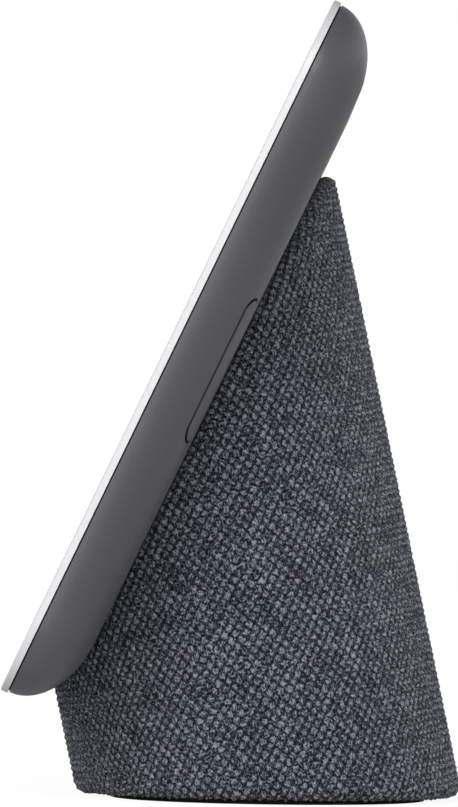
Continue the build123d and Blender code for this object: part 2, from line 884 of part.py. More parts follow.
def stand_frame():
    low = plate_low
    outer = rounded_stand(stand_skin, low, stand_inner_round, 0)
    hollow = stand_form(stand_skin + stand_wall, low - 1)
    frame = outer - hollow

    posts = []
    for x, y in base_boss_places():
        side = base_boss_inset if x > 0 else -base_boss_inset
        outline = Circle(base_boss_radius) + Pos(side, 0) * Rectangle(2 * base_boss_inset, base_boss_radius)
        posts.append(extrude(Pos(x, y, plate_high) * outline, amount=base_boss_height))
    ring = on(speaker_plane, tube(ring_radius, speaker_ring_inner, 0, speaker_setback))
    inlet_posts = [
        on(inlet_plane, rod(inlet_post_radius, 0, inlet_back, *p)) for p in inlet_screw_places()
    ]
    land = on(face, layer(neck_oval(0), display_depth, deck_front + stand_wall / 2, 0, neck_y))
    core = stand_form(stand_skin + stand_wall / 2, low)
    frame += [p & core for p in posts + [ring] + inlet_posts]
    frame += land

    frame -= grille_holes()
    collar = inlet_collar_radius + inlet_ease
    frame -= on(inlet_plane, rod(collar, -5, inlet_recess_depth + inlet_barrel_depth))
    small, medium, large = (
        radius + screw_clearance for radius in (small_shank_radius, medium_shank_radius, large_shank_radius)
    )
    for x, y in base_boss_places():
        frame -= Pos(x, y, 0) * Cylinder(medium, 2 * (plate_high + base_boss_height - 1))
    for place in neck_screw_places():
        frame -= on(face, rod(large, display_depth - 1, deck_back + 1, *place))
    for place in speaker_screw_places():
        frame -= on(speaker_plane, rod(small, speaker_setback - 1.5 * screw_bite, speaker_setback, *place))
    for place in inlet_screw_places():
        frame -= on(inlet_plane, rod(small, inlet_back - 2.5 * screw_bite, inlet_back, *place))
    cable_slot = SlotOverall(cable_slot_width, cable_slot_height)
    frame -= on(face, layer(cable_slot, display_depth - 1, deck_back + 1, 0, neck_y))
    return frame


def cable_grommet():
    """Rubber seal round the leads where they pass from the display into the stand."""
    bore = SlotOverall(grommet_bore_width, grommet_bore_height)
    body = SlotOverall(cable_slot_width - 2 * grommet_ease, cable_slot_height - 2 * grommet_ease)
    flange = SlotOverall(cable_slot_width + 2 * grommet_flange, cable_slot_height + 2 * grommet_flange)
    seal = layer(body, wall_inner, deck_back, 0, neck_y)
    seal += layer(flange, deck_back, deck_back + grommet_flange_thickness, 0, neck_y)
    return seal - layer(bore, 0, 2 * deck_back, 0, neck_y)


def base_plate():
    plate = floor_oval(stand_skin + stand_wall + plate_ease, plate_low, plate_high, lean)
    sink = medium_head_height + screw_sink
    shank, head = medium_shank_radius + screw_clearance, medium_head_radius + screw_clearance
    for x, y in base_boss_places():
        plate -= Pos(x, y, plate_high) * Cylinder(shank, 3 * plate_thickness)
        plate -= Pos(x, y, plate_low + sink / 2) * Cylinder(head, sink)
    return plate


def foot_pad():
    pad = floor_oval(foot_inset, 0, plate_low)
    bottom = pad.faces().sort_by(Axis.Z)[0]
    return fillet(bottom.edges(), foot_edge_round)


# Loudspeaker
def speaker_basket():
    lip = speaker_front + basket_flange
    foot = basket_back - basket_wall
    wall = basket_wall
    basket = turned(
        [
            (speaker_ring_inner - wall, speaker_front),
            (speaker_radius, speaker_front),
            (speaker_radius, lip),
            (speaker_ring_inner, lip),
            (basket_foot_radius, foot),
            (basket_foot_radius, basket_back),
            (coil_radius + basket_bore_gap, basket_back),
            (coil_radius + basket_bore_gap, foot),
            (basket_foot_radius - wall, foot),
            (speaker_ring_inner - wall, lip),
        ]
    )
    middle = (speaker_ring_inner + basket_foot_radius) / 2
    opening = tan(radians(basket_window_angle / 2)) * middle * 2
    window = Box(2 * middle, opening, (foot - lip) * basket_window_share)
    kept = basket_foot_radius - 2 * wall
    keep = turned([(0, lip), (kept, lip), (kept, foot), (0, foot)])
    for n in range(basket_windows):
        turn = Rot(0, 0, 360 * n / basket_windows)
        basket -= turn * Pos(middle, 0, -(lip + foot) / 2) * window - keep
    for place in speaker_screw_places():
        basket -= rod(small_shank_radius + screw_clearance, 0, 2 * basket_back, *place)
    return on(speaker_plane, basket)


def speaker_gasket():
    ring = tube(speaker_radius, speaker_ring_inner, speaker_setback, speaker_front)
    for place in speaker_screw_places():
        ring -= rod(small_shank_radius + screw_clearance, 0, 2 * basket_back, *place)
    return on(speaker_plane, ring)


def speaker_surround():
    """Half-roll of rubber between the basket and the cone."""
    outer = speaker_ring_inner - basket_wall - glue_gap
    inner = cone_edge + glue_gap
    middle = (outer + inner) / 2
    roll = (outer - inner) / 2
    low = -cone_front - surround_thickness
    profile = make_face(
        [
            ThreePointArc((inner, 0, low), (middle, 0, low + roll), (outer, 0, low)),
            Line((outer, 0, low), (outer - surround_thickness, 0, low)),
            ThreePointArc(
                (outer - surround_thickness, 0, low),
                (middle, 0, low + roll - surround_thickness),
                (inner + surround_thickness, 0, low),
            ),
            Line((inner + surround_thickness, 0, low), (inner, 0, low)),
        ]
    )
    return on(speaker_plane, revolve(profile, axis=Axis.Z))


def speaker_cone():
    neck = coil_radius + glue_gap
    paper = turned(
        [
            (cone_edge, cone_front),
            (cone_edge, cone_front + cone_thickness),
            (neck + cone_thickness, cone_back + cone_thickness),
            (neck, cone_back + cone_thickness),
            (neck, cone_back),
        ]
    )
    return on(speaker_plane, paper)


def speaker_dust_cap():
    reach = coil_radius + cone_thickness
    low = cone_back - glue_gap - cone_thickness / 2
    top = low - dust_cap_rise
    ball = (reach**2 + dust_cap_rise**2) / (2 * dust_cap_rise)
    skin = Sphere(ball) - Sphere(ball - cone_thickness)
    return on(speaker_plane, (Pos(0, 0, -top - ball) * skin) & rod(2 * reach, top - 1, low))


def voice_coil():
    inner = coil_radius - coil_thickness
    return on(speaker_plane, tube(coil_radius, inner, cone_back, cone_back + coil_length))


def speaker_spider():
    """Corrugated centring disc between the coil and the basket."""
    inner = coil_radius + glue_gap
    middle = cone_back + spider_drop - spider_wave_height
    lip = speaker_front + basket_flange
    foot = basket_back - basket_wall
    share = (middle + spider_thickness - lip) / (foot - lip)
    wall_radius = speaker_ring_inner + (basket_foot_radius - speaker_ring_inner) * share - basket_wall
    outer = wall_radius - 6 * glue_gap
    count = 2 * spider_waves
    top = []
    for n in range(count + 1):
        r = inner + (outer - inner) * n / count
        top.append((r, middle - spider_wave_height * (n % 2)))
    bottom = [(r, d + spider_thickness) for r, d in reversed(top)]
    return on(speaker_plane, turned(top + bottom))


def speaker_magnet():
    inner = coil_radius + magnet_gap
    return on(speaker_plane, tube(magnet_radius, inner, basket_back, magnet_back))


def speaker_yoke():
    pole = coil_radius - coil_thickness - magnet_gap
    core = rod(pole, basket_back - basket_wall, magnet_back)
    core += rod(yoke_radius, magnet_back, yoke_back)
    return on(speaker_plane, core)


# Power inlet
def power_inlet():
    floor = inlet_recess_depth
    end = floor + inlet_barrel_depth
    body = rod(inlet_collar_radius, 0, floor + inlet_overlap)
    flange_end = inlet_flange_front + inlet_flange_thickness
    body += tube(inlet_flange_radius, inlet_collar_radius - inlet_overlap, inlet_flange_front, flange_end)
    body += rod(inlet_body_radius, floor, inlet_back)
    body -= rod(inlet_recess_radius, -1, floor)
    body -= rod(inlet_barrel_radius, floor, end)
    return on(inlet_plane, body)


def inlet_pin():
    end = inlet_recess_depth + inlet_barrel_depth
    pin = rod(inlet_pin_radius, inlet_recess_depth + inlet_pin_recess, end)
    tip = pin.faces().sort_by(Axis.Z)[-1]
    return on(inlet_plane, fillet(tip.edges(), inlet_pin_radius * 0.4))


def inlet_board():
    outline = Rectangle(inlet_board_width, inlet_board_height)
    board = layer(outline, inlet_back, inlet_back + inlet_board_thickness)
    for place in inlet_screw_places():
        board -= rod(small_shank_radius + screw_clearance, 0, 2 * inlet_back, *place)
    return on(inlet_plane, board)


# Leads
def neck_point(x, depth):
    return face.from_local_coords(Vector(x, neck_y, -depth))


def lead(points):
    path = FilletPolyline(*points, radius=lead_bend)
    start = Plane(origin=points[0], z_dir=points[1] - points[0])
    return sweep(start * Circle(lead_radius), path=path)


def lead_from_neck(side):
    """First three points of a lead: off its connector, through the neck, and out to one side."""
    x = side * lead_spacing / 2
    clear = deck_back + grommet_flange_thickness + lead_bend + lead_clearance
    beside = side * (speaker_radius + lead_radius + lead_clearance)
    return [neck_point(x, board_back + connector_rise), neck_point(x, clear), neck_point(beside, clear)]


def power_lead():
    end = inlet_back + inlet_board_thickness
    away = inlet_plane.from_local_coords(Vector(0, 0, -end - lead_straight))
    return lead(lead_from_neck(-1) + [away, inlet_plane.from_local_coords(Vector(0, 0, -end))])


def speaker_lead():
    end = speaker_front + basket_flange
    x = (speaker_radius + speaker_ring_inner) / 2
    away = speaker_plane.from_local_coords(Vector(x, 0, -end - lead_straight))
    return lead(lead_from_neck(1) + [away, speaker_plane.from_local_coords(Vector(x, 0, -end))])


# Screws
def chassis_screws():
    return [
        rod(small_head_radius, chassis_front - small_head_height, chassis_front, *p)
        + rod(small_shank_radius, chassis_front, chassis_back + screw_bite - screw_clearance, *p)
        for p in chassis_screw_places()
    ]


def board_screws():
    return [
        screw_in(small_head_radius, small_head_height, small_shank_radius, board_back, chassis_front, *p)
        for p in board_screw_places()
    ]


def neck_screws():
    tip = chassis_back + screw_clearance
    return [
        screw_in(large_head_radius, large_head_height, large_shank_radius, deck_back, tip, *p)
        for p in neck_screw_places()
    ]


def speaker_screws():
    seat = speaker_front + basket_flange
    tip = speaker_setback - screw_bite
    return [
        on(speaker_plane, screw_in(small_head_radius, small_head_height, small_shank_radius, seat, tip, *p))
        for p in speaker_screw_places()
    ]


def inlet_screws():
    seat = inlet_back + inlet_board_thickness
    tip = inlet_back - 2 * screw_bite
    return [
        on(inlet_plane, screw_in(small_head_radius, small_head_height, small_shank_radius, seat, tip, *p))
        for p in inlet_screw_places()
    ]


def base_screws():
    reach = plate_high + base_boss_height - screw_bite
    seat = plate_low + medium_head_height + screw_sink
    screws = []
    for x, y in base_boss_places():
        head = Pos(x, y, seat - medium_head_height / 2) * Cylinder(medium_head_radius, medium_head_height)
        shank = Pos(x, y, (seat + reach) / 2) * Cylinder(medium_shank_radius, reach - seat)
        screws.append(head + shank)
    return screws


DISPLAY_PIECES = [
    cover_glass,
    display_gasket,
    lcd_panel,
    backlight_tray,
    light_guide,
    lcd_flex,
    chassis_plate,
    chassis_screws,
    rear_housing,
    main_board,
    board_screws,
    shield_cans,
    chips,
    thermal_pads,
    board_connectors,
    wifi_antennas,
    sensor_strip,
    light_sensor,
    microphones,
    microphone_boots,
    volume_rocker,
    rocker_pin,
    volume_domes,
    volume_switch_board,
    mic_slider,
    mic_switch_lever,
    mic_switch,
    mic_switch_board,
    neck_screws,
    cable_grommet,
]

STAND_PIECES = [
    fabric_cover,
    stand_frame,
    base_plate,
    base_screws,
    foot_pad,
    speaker_gasket,
    speaker_basket,
    speaker_surround,
    speaker_cone,
    speaker_dust_cap,
    voice_coil,
    speaker_spider,
    speaker_magnet,
    speaker_yoke,
    speaker_screws,
    power_inlet,
    inlet_pin,
    inlet_board,
    inlet_screws,
    power_lead,
    speaker_lead,
]


def as_one(piece):
    return Compound(children=[p for p in piece]) if isinstance(piece, list) else piece


os.makedirs("parts", exist_ok=True)
for make in DISPLAY_PIECES:
    export_step(on(face, as_one(make())), f"parts/{make.__name__}.step")
for make in STAND_PIECES:
    export_step(as_one(make()), f"parts/{make.__name__}.step")
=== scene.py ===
# %% [markdown]
# # A tabletop smart display on a fabric-covered stand
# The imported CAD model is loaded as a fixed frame: every node is already at its place, in metres.
# The hard pieces keep their CAD shapes and get finishes here. The woven sleeve of the stand is
# modelled anew, because cloth has a relief that a plain solid doesn't show.

# %% Load the frame
import json
import math

import bpy
import numpy as np
from mathutils import Matrix, Vector

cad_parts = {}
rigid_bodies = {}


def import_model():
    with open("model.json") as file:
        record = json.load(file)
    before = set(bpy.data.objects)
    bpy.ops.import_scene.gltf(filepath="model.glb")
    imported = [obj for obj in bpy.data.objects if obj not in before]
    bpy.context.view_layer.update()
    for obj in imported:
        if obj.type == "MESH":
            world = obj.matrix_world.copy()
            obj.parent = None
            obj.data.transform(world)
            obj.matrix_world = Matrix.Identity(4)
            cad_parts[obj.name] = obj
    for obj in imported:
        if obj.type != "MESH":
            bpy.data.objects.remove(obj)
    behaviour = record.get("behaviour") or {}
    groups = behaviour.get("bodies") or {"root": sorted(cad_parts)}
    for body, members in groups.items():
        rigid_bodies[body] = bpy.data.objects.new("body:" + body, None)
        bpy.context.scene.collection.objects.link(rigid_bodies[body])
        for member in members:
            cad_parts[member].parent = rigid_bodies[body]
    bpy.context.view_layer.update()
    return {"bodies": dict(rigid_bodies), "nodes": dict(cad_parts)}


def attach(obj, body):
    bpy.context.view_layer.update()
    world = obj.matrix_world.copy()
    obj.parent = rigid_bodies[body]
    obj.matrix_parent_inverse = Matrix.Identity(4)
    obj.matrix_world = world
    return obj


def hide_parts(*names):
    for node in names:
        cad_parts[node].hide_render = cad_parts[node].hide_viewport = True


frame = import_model()
nodes = frame["nodes"]
own = set(nodes.values()) | set(frame["bodies"].values())
for thing in [o for o in bpy.data.objects if o not in own]:
    bpy.data.objects.remove(thing)
MM = 0.001

# %% [markdown]
# ## Camera
# The picture is an exact side view from about two metres, so the lens is long and nearly free of
# perspective. The camera looks along -X, with the screen to the left, and is rolled by under a degree.

# %% Camera
IMAGE_LONG_SIDE = 807
PIXELS_PER_METRE = 6486.0
VIEW_DISTANCE = 2.0
AIM_Y, AIM_Z = -0.0015, 0.0603
ROLL = math.radians(0.86)
camera_data = bpy.data.cameras.new("side_view_camera")
camera = bpy.data.objects.new("side_view_camera", camera_data)
bpy.context.scene.collection.objects.link(camera)
bpy.context.scene.camera = camera
camera_data.sensor_width = 36.0
camera_data.lens = PIXELS_PER_METRE * VIEW_DISTANCE * camera_data.sensor_width / IMAGE_LONG_SIDE
camera_data.clip_start = 0.05
camera_data.clip_end = 100.0
right = Vector((0.0, math.cos(ROLL), math.sin(ROLL)))
up = Vector((0.0, -math.sin(ROLL), math.cos(ROLL)))
axes = Matrix((right, up, Vector((1.0, 0.0, 0.0)))).transposed()
camera.matrix_world = Matrix.Translation((VIEW_DISTANCE, AIM_Y, AIM_Z)) @ axes.to_4x4()
print("lens in mm", round(camera_data.lens, 1))

# %% [markdown]
# ## Node helpers
# Each finish is a small node tree. These helpers keep the trees readable: they add a node and set its
# inputs, start a finish with its shader, do sums, carry a value to another span, lay colours on a ramp
# and put a finish on a CAD node.

# %% Node helpers
def find_input(node, name):
    """An input by its number, written as i0, i1 and so on, or by its name with _ for spaces."""
    if name[1:].isdigit():
        return node.inputs[int(name[1:])]
    return node.inputs[name.replace("_", " ")]


def add_node(tree, kind, settings=None, **inputs):
    node = tree.nodes.new("ShaderNode" + kind)
    for name, value in (settings or {}).items():
        setattr(node, name, value)
    for name, value in inputs.items():
        if isinstance(value, bpy.types.NodeSocket):
            tree.links.new(value, find_input(node, name))
        else:
            find_input(node, name).default_value = value
    return node


def new_finish(name, **shader_inputs):
    material = bpy.data.materials.new(name)
    material.use_nodes = True
    tree = material.node_tree
    tree.nodes.clear()
    shader = add_node(tree, "BsdfPrincipled", **shader_inputs)
    output = add_node(tree, "OutputMaterial")
    tree.links.new(shader.outputs["BSDF"], output.inputs["Surface"])
    return material, tree, shader


def math_node(tree, operation, first, second=0.0):
    return add_node(tree, "Math", {"operation": operation}, i0=first, i1=second).outputs[0]


def map_range(tree, value, span, to_span):
    """The value carried from one span to another and held at its ends."""
    ends = dict(From_Min=span[0], From_Max=span[1], To_Min=to_span[0], To_Max=to_span[1])
    return add_node(tree, "MapRange", Value=value, **ends).outputs["Result"]


def color_ramp(tree, factor, stops):
    ramp = add_node(tree, "ValToRGB", Fac=factor)
    elements = ramp.color_ramp.elements
    while len(elements) < len(stops):
        elements.new(0.5)
    for element, (place, color) in zip(elements, stops):
        element.position = place
        element.color = (*color, 1.0)
    return ramp.outputs["Color"]


def dress(node_name, material):
    slots = nodes[node_name].data.materials
    slots.clear()
    slots.append(material)


print("helpers ready for", len(nodes), "nodes")

# %% [markdown]
# ## The woven sleeve
# On the real object a thick pebbled yarn is pulled tight over the stand, rolled over its upper rim and
# tucked under its lower edge. A bump map alone would leave a smooth outline, so the weave is geometry:
# a flat grid with points on the pebbles, in the dips and between them is wrapped round the stand like
# the flat cut of cloth, and its points are then lifted and sunk along the normals. The stand's sizes,
# in millimetres, are those of the CAD model.

# %% The stand's shape
HALF_WIDTH, HALF_DEPTH, END_RUN = 52.5, 29.65, 35.5
LEAN, TILT = math.radians(12.5), math.radians(25.0)
FACE_FOOT = np.array([0.0, -34.75, 17.4])
DISPLAY_HEIGHT, HOUSING_REVEAL, HOUSING_FRONT, DISPLAY_DEPTH = 113.6, 0.25, 1.35, 9.5
EDGE_RUN, FOOT_ROUND, RIM_ROUND = 11.8, 1.9, 1.25
CLOTH_LIFT, OVERALL_DEPTH = 0.5, 69.5
RELIEF, RIM_GAP = 0.46, -0.05

ruling = np.array([0.0, -math.sin(LEAN), math.cos(LEAN)])
across_wall = np.array([0.0, math.cos(LEAN), math.sin(LEAN)])
sideways = np.array([1.0, 0.0, 0.0])
upright = np.array([0.0, 0.0, 1.0])
face_up = np.array([0.0, math.sin(TILT), math.cos(TILT)])
face_back = np.array([0.0, math.cos(TILT), -math.sin(TILT)])
heel_y = OVERALL_DEPTH / 2 + FOOT_ROUND * ((1 + math.sin(LEAN)) / math.cos(LEAN) - 1)
centre_y = heel_y - HALF_DEPTH + CLOTH_LIFT * math.tan(LEAN)
axis_foot = np.array([0.0, centre_y, 0.0])


def beyond_display(points, offset):
    """How far points lie behind the display's back and rolled lower edge, and the normal there."""
    local = points - FACE_FOOT
    along = local @ face_up
    depth = local @ face_back - HOUSING_FRONT
    run = EDGE_RUN + offset
    deep = DISPLAY_DEPTH - HOUSING_FRONT + offset
    low = np.minimum(along - (HOUSING_REVEAL + EDGE_RUN), 0.0)
    size = np.sqrt((low / run) ** 2 + (depth / deep) ** 2)
    slope_up, slope_back = low / run**2, depth / deep**2
    length = np.sqrt(slope_up**2 + slope_back**2)
    normal = (slope_up[..., None] * face_up + slope_back[..., None] * face_back) / length[..., None]
    return (size - 1.0) * size / length, normal


def unit(vectors):
    return vectors / np.linalg.norm(vectors, axis=1, keepdims=True)


def dot(a, b):
    return np.sum(a * b, axis=1)


print("the stand's axis meets the table at y", round(centre_y, 2))

# %% [markdown]
# The cloth is straight-grained: its columns run up along the leaning wall and its rows lie square to
# them. So the stand is measured in a section square to its lean, an oval with elliptical ends, and the
# columns stand at equal distances round that oval.

# %% Columns of the weave
COLUMNS, STEPS = 168, 4
OVAL_POINTS = 40001
end_run = END_RUN - RELIEF
end_deep = HALF_DEPTH * math.cos(LEAN) - RELIEF
straight = HALF_WIDTH - END_RUN
turns = np.linspace(-math.pi / 2, 1.5 * math.pi, OVAL_POINTS)
shift = np.where(np.cos(turns) > 0, straight, -straight)
oval = np.stack([shift + end_run * np.cos(turns), end_deep * np.sin(turns)], axis=1)
oval = np.vstack([[0.0, -end_deep], oval, [0.0, -end_deep]])
oval_out = np.stack([np.cos(turns) / end_run, np.sin(turns) / end_deep], axis=1)
oval_out = np.vstack([[0.0, -1.0], unit(oval_out), [0.0, -1.0]])
lengths = np.concatenate([[0.0], np.cumsum(np.linalg.norm(np.diff(oval, axis=0), axis=1))])
girth = lengths[-1]
wide = COLUMNS * STEPS
stations = np.arange(wide + 1) * girth / wide
section = np.stack([np.interp(stations, lengths, oval[:, k]) for k in (0, 1)], axis=1)
facing = unit(np.stack([np.interp(stations, lengths, oval_out[:, k]) for k in (0, 1)], axis=1))
section[-1], facing[-1] = section[0], facing[0]
start = axis_foot + section[:, :1] * sideways + section[:, 1:] * across_wall
wall_out = facing[:, :1] * sideways + facing[:, 1:] * across_wall
print("girth in mm", round(girth, 1), "column pitch", round(girth / COLUMNS, 3))

# %% [markdown]
# Each column starts at the table and is followed up to the place where the display's back cuts it off.
# A coarse climb finds the step in which it meets the display, and halving that step finds the point.

# %% Where the columns start and end
CLIMB_LIMIT, CLIMB_STEP, HALVINGS = 130.0, 0.5, 40
low_z = CLOTH_LIFT + RELIEF
foot_at = (low_z - start[:, 2]) / ruling[2]
foot_points = start + foot_at[:, None] * ruling
foot_along = unit(np.cross(wall_out, upright))
foot_in = -unit(wall_out - wall_out[:, 2:] * upright)

climb = np.arange(0.0, CLIMB_LIMIT, CLIMB_STEP)
free_at = np.stack([beyond_display(foot_points + t * ruling, RIM_GAP)[0] for t in climb])
first_hit = np.argmax(free_at < 0, axis=0)
near, far = climb[first_hit - 1], climb[first_hit]
for _ in range(HALVINGS):
    middle = (near + far) / 2
    free, _normal = beyond_display(foot_points + middle[:, None] * ruling, RIM_GAP)
    near, far = np.where(free > 0, middle, near), np.where(free > 0, far, middle)
rim_points = foot_points + near[:, None] * ruling
rim_at = foot_at + near
_free, rim_normal = beyond_display(rim_points, RIM_GAP)
rim_along = unit(np.cross(rim_normal, wall_out))
rim_in = unit(np.cross(rim_normal, rim_along))
rim_in *= np.sign(-dot(rim_in, wall_out))[:, None]
print("wall in mm, shortest and longest", near.min().round(1), near.max().round(1))


# %% [markdown]
# At either end of the wall the cloth bends round an edge. Seen along that edge it is a straight run, an
# arc and another straight run, so one function lays a distance along the cloth on such a bend.

# %% Bending the cloth round an edge
def bend(edge, along, inward, heading, reach, radius):
    """Places at a reach from an edge, and how far past the arc's start and past its end they lie."""
    share_along = along @ heading
    up_wall = unit(heading - share_along[:, None] * along)
    share_up = up_wall @ heading
    wedge = np.arccos(np.clip(dot(up_wall, inward), -1, 1))
    straight_run = radius / np.tan(wedge / 2)
    arc = radius * (math.pi - wedge)
    into = unit(inward - dot(inward, up_wall)[:, None] * up_wall)
    past = straight_run - share_up * reach
    angle = (np.clip(past, 0, arc) / radius)[..., None]
    middle = edge + straight_run[:, None] * up_wall + radius * into
    on_arc = middle - radius * np.cos(angle) * into - radius * np.sin(angle) * up_wall
    on_top = edge + (straight_run + np.maximum(past - arc, 0))[..., None] * inward
    on_wall = edge + (share_up * reach)[..., None] * up_wall
    bent = np.where((past > arc)[..., None], on_top, np.where((past > 0)[..., None], on_arc, on_wall))
    return bent + (share_along * reach)[..., None] * along, past, past - arc


HEM, FLANGE = 4.6, 2.2
SPARE_BELOW, SPARE_ABOVE = 5.0, 7.0
REPEAT_HEIGHT = 1.966
SETTLING_ROUNDS = 3
ROW = REPEAT_HEIGHT / STEPS
lowest = foot_at.min() - HEM - SPARE_BELOW
rows = int(math.ceil((rim_at.max() + SPARE_ABOVE - lowest) / ROW / STEPS)) * STEPS
height = (lowest + np.arange(rows + 1) * ROW)[:, None]
foot_reach, foot_radius = height - foot_at, FOOT_ROUND - RELIEF
at_foot, _round, past_foot = bend(foot_points, foot_along, foot_in, ruling, foot_reach, foot_radius)
at_rim, round_rim, past_rim = bend(rim_points, rim_along, rim_in, -ruling, rim_at - height, RIM_ROUND)
tucked = past_rim > 0
for _ in range(SETTLING_ROUNDS):
    away, way = beyond_display(at_rim[tucked], RIM_GAP)
    at_rim[tucked] -= away[:, None] * way
cloth = np.where((height < (foot_at + rim_at) / 2)[..., None], at_foot, at_rim)
cloth[:, -1] = cloth[:, 0]
keep = (past_foot < HEM) & (past_rim < FLANGE)
print("rows", rows, "points kept", int(keep.sum()))

# %% [markdown]
# High pebbles and low dips alternate in this weave like the squares of a chessboard: each pebble touches
# its four diagonal neighbours, and in the dips between them a lower yarn lies in the shade. Pebbles differ
# a little in place, height and tone, as thick yarn does. A seeded generator gives these differences. The
# relief fades out round the rim and the hem, where the cloth is drawn flat.

# %% Pebbles and dips
TOP_LIFT, TOP_SPREAD = 0.94, 0.06
DIP_LIFT, DIP_SPREAD = -0.6, 0.12
RIDGE_LIFT, SIDE_LIFT, SIDE_SPREAD = 0.5, 0.25, 0.1
TOP_SLIP, SIDE_SLIP, SLIP_LIMIT = 0.26, 0.15, 1.6
MIDDLE_TONE, TONE_SPREAD = 0.5, 0.2
RIM_FADE, HEM_FADE = 1.2, 0.8


def with_neighbours(values):
    """The sum over each point and the eight points round it."""
    sides = (-1, 0, 1)
    return sum(np.roll(np.roll(values, r, axis=0), c, axis=1) for r in sides for c in sides)


rng = np.random.default_rng(7)
grid_row, grid_column = np.meshgrid(np.arange(rows + 1), np.arange(wide), indexing="ij")
wave = np.cos(2 * math.pi * grid_column / STEPS) * np.cos(2 * math.pi * grid_row / STEPS)
is_top, is_dip = wave > 0.5, wave < -0.5
is_ridge = (grid_column % 2 == 1) & (grid_row % 2 == 1)
spread = rng.normal(0.0, 1.0, (4, rows + 1, wide))
lift = np.where(is_ridge, RIDGE_LIFT, SIDE_LIFT) + SIDE_SPREAD * spread[0]
lift = np.where(is_dip, DIP_LIFT + DIP_SPREAD * spread[0], lift)
lift = np.where(is_top, TOP_LIFT + TOP_SPREAD * spread[0], lift)
slip = np.where(is_top | is_dip, TOP_SLIP, SIDE_SLIP)
along_row = (np.roll(cloth[:, :-1], -1, axis=1) - np.roll(cloth[:, :-1], 1, axis=1)) / 2
along_column = np.gradient(cloth[:, :-1], axis=0)
moved = cloth[:, :-1] + along_row * (slip * np.clip(spread[1], -SLIP_LIMIT, SLIP_LIMIT))[..., None]
moved += along_column * (slip * np.clip(spread[2], -SLIP_LIMIT, SLIP_LIMIT))[..., None]
top_tone = np.where(is_top, MIDDLE_TONE + TONE_SPREAD * spread[3], 0.0)
tops_near = np.maximum(with_neighbours(is_top.astype(float)), 1.0)
tone = np.where(is_top, top_tone, with_neighbours(top_tone) / tops_near)
rim_share = np.clip(1.0 - round_rim[:, :-1] / RIM_FADE, 0.0, 1.0)
hem_share = np.clip(1.0 - past_foot[:, :-1] / HEM_FADE, 0.0, 1.0)
relief = np.clip(lift, -1.0, 1.0) * (rim_share * hem_share) * RELIEF
print("pebbles", int((is_top & keep[:, :-1]).sum()))

# %% [markdown]
# A grid primitive gives the flat cloth, already unwrapped: its UV map runs with the columns and rows.
# Its points go to their wrapped places, and the normals there give the way for the relief.

# %% Wrap the cloth
bpy.ops.object.select_all(action="DESELECT")
bpy.ops.mesh.primitive_grid_add(x_subdivisions=wide, y_subdivisions=rows, size=2.0, calc_uvs=True)
sleeve = bpy.context.object
sleeve.name = sleeve.data.name = "woven_sleeve"


def read_points(attribute):
    values = np.empty(len(sleeve.data.vertices) * 3)
    sleeve.data.vertices.foreach_get(attribute, values)
    return values.reshape(-1, 3)


flat = read_points("co")
column = np.rint((flat[:, 0] + 1) / 2 * wide).astype(int)
row = np.rint((flat[:, 1] + 1) / 2 * rows).astype(int)
sleeve.data.vertices.foreach_set("co", (cloth[row, column] * MM).ravel())
sleeve.data.update()
normals = read_points("normal")
face_out = np.sign(np.sum(normals * wall_out[column], axis=1).mean())
seam_normals = np.zeros((rows + 1, wide + 1, 3))
seam_normals[row, column] = normals * face_out
seam_normals[:, 0] = seam_normals[:, -1] = unit(seam_normals[:, 0] + seam_normals[:, -1])
print("grid points", len(flat))

# %% [markdown]
# Round the power inlet the cloth has a clean hole, with its edge turned in. Points near the hole's edge
# go onto the circle, and points inside it go down into the stand.

# %% The hole for the power inlet
INLET_X, INLET_HEIGHT, INLET_HOLE = -33.0, 17.0, 6.35
HOLE_DEPTH = 8.0
EDGE_OUTSIDE, EDGE_INSIDE, CUT_INSIDE = 0.3, 0.2, 0.9
TURNED_IN = 1.4
past_straight = INLET_X + straight
deep_there = HALF_DEPTH * math.sqrt(1 - (past_straight / END_RUN) ** 2)
inlet_at = np.array([INLET_X, centre_y - INLET_HEIGHT * math.tan(LEAN) + deep_there, INLET_HEIGHT])
out_back = deep_there / HALF_DEPTH**2
inlet_out = np.array([past_straight / END_RUN**2, out_back, out_back * math.tan(LEAN)])
inlet_out /= np.linalg.norm(inlet_out)


def round_hole(points):
    """The points with those at the hole set on its edge or turned in, and which of them to cut away."""
    from_axis = points - inlet_at
    depth = from_axis @ inlet_out
    radial = from_axis - depth[..., None] * inlet_out
    radius = np.linalg.norm(radial, axis=-1)
    beside = np.abs(depth) < HOLE_DEPTH
    at_edge = beside & (radius < INLET_HOLE + EDGE_OUTSIDE)
    sunk = np.where(radius < INLET_HOLE - EDGE_INSIDE, (INLET_HOLE - radius) * TURNED_IN, 0.0)
    circle = inlet_at + radial / np.maximum(radius, 1e-6)[..., None] * INLET_HOLE
    ring = circle + (depth - sunk)[..., None] * inlet_out
    return np.where(at_edge[..., None], ring, points), beside & (radius < INLET_HOLE - CUT_INSIDE)


lifted = moved + seam_normals[:, :-1] * relief[..., None]
lifted, in_hole = round_hole(lifted)
lifted = np.concatenate([lifted, lifted[:, :1]], axis=1)
keep[:, :-1] &= ~in_hole
keep[:, -1] = keep[:, 0]

# %% [markdown]
# The raised points are set, each pebble's tone is kept on the mesh for the finish, what lies past the
# hem, the rim or inside the hole is deleted, and the seam at the front is closed.

